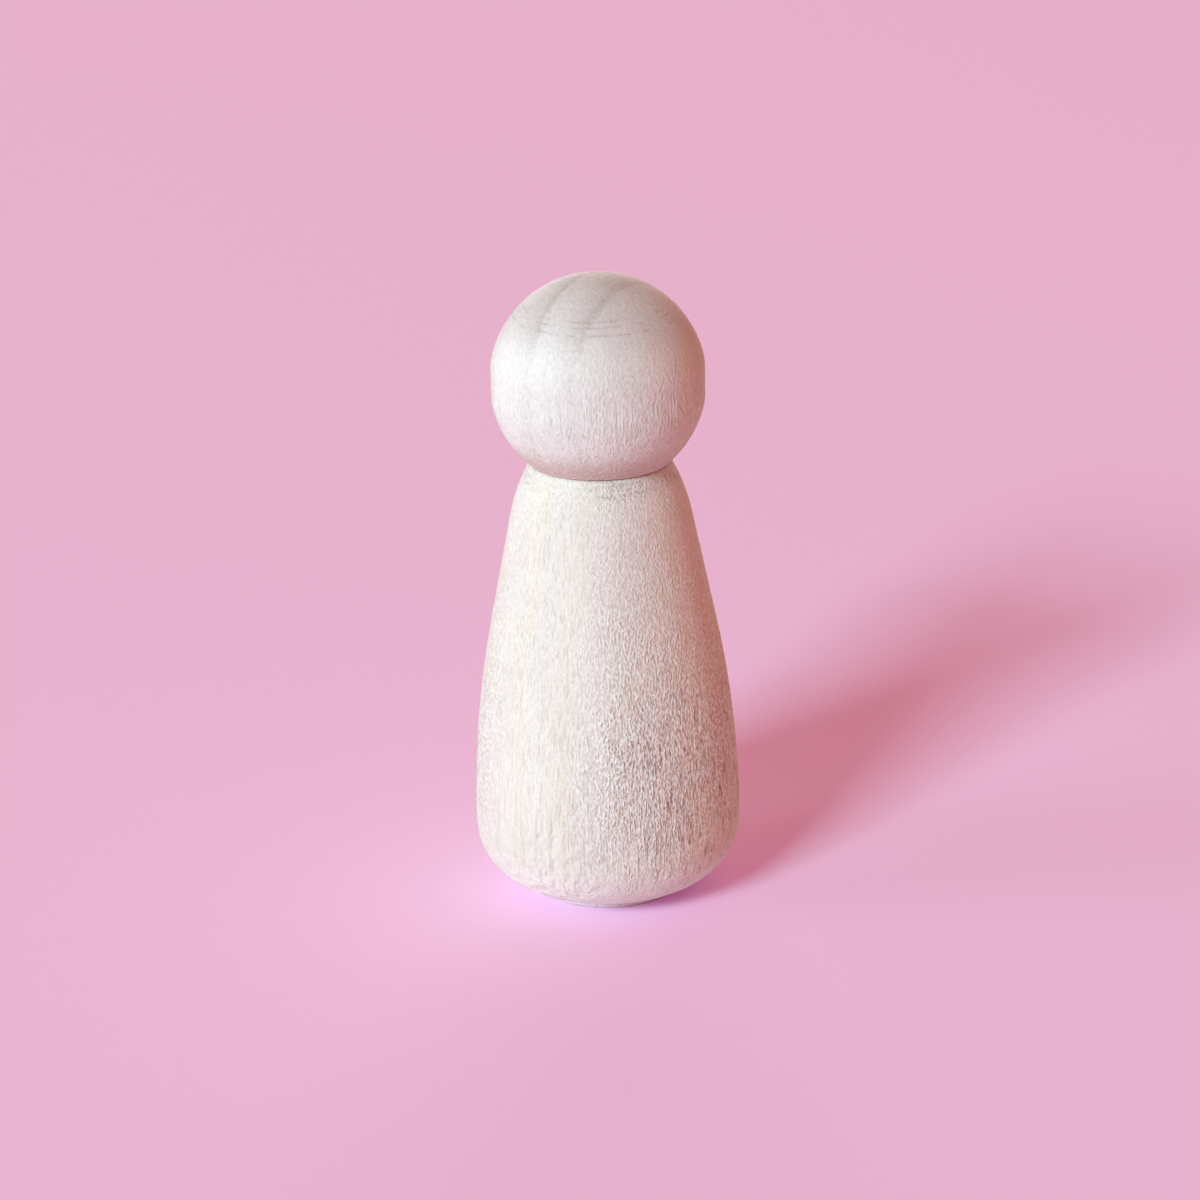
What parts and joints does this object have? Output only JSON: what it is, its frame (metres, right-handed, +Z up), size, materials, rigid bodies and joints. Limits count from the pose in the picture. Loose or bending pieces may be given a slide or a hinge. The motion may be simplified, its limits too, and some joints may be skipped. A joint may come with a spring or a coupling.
{
  "type": "peg doll",
  "caption": "Raw wooden peg doll without a face: a turned ball head glued on a dowel to a tapering turned body that stands on a small flat foot.",
  "frame": {"origin": "middle of the flat foot, on the surface that the doll stands on", "axes": "+Z up along the turning axis, through the middle of the head; X and Y are alike because the doll is round"},
  "size_m": [0.0252, 0.0252, 0.06],
  "materials": {
    "body_wood": "raw, sanded, pale close-grained hardwood with the grain upright",
    "head_wood": "raw, sanded, pale close-grained hardwood with end grain on the crown",
    "dowel_wood": "raw fluted hardwood pin"
  },
  "bodies": {
    "root": {"body": "body_wood", "head": "head_wood", "neck_dowel": "dowel_wood"}
  },
  "joints": []
}
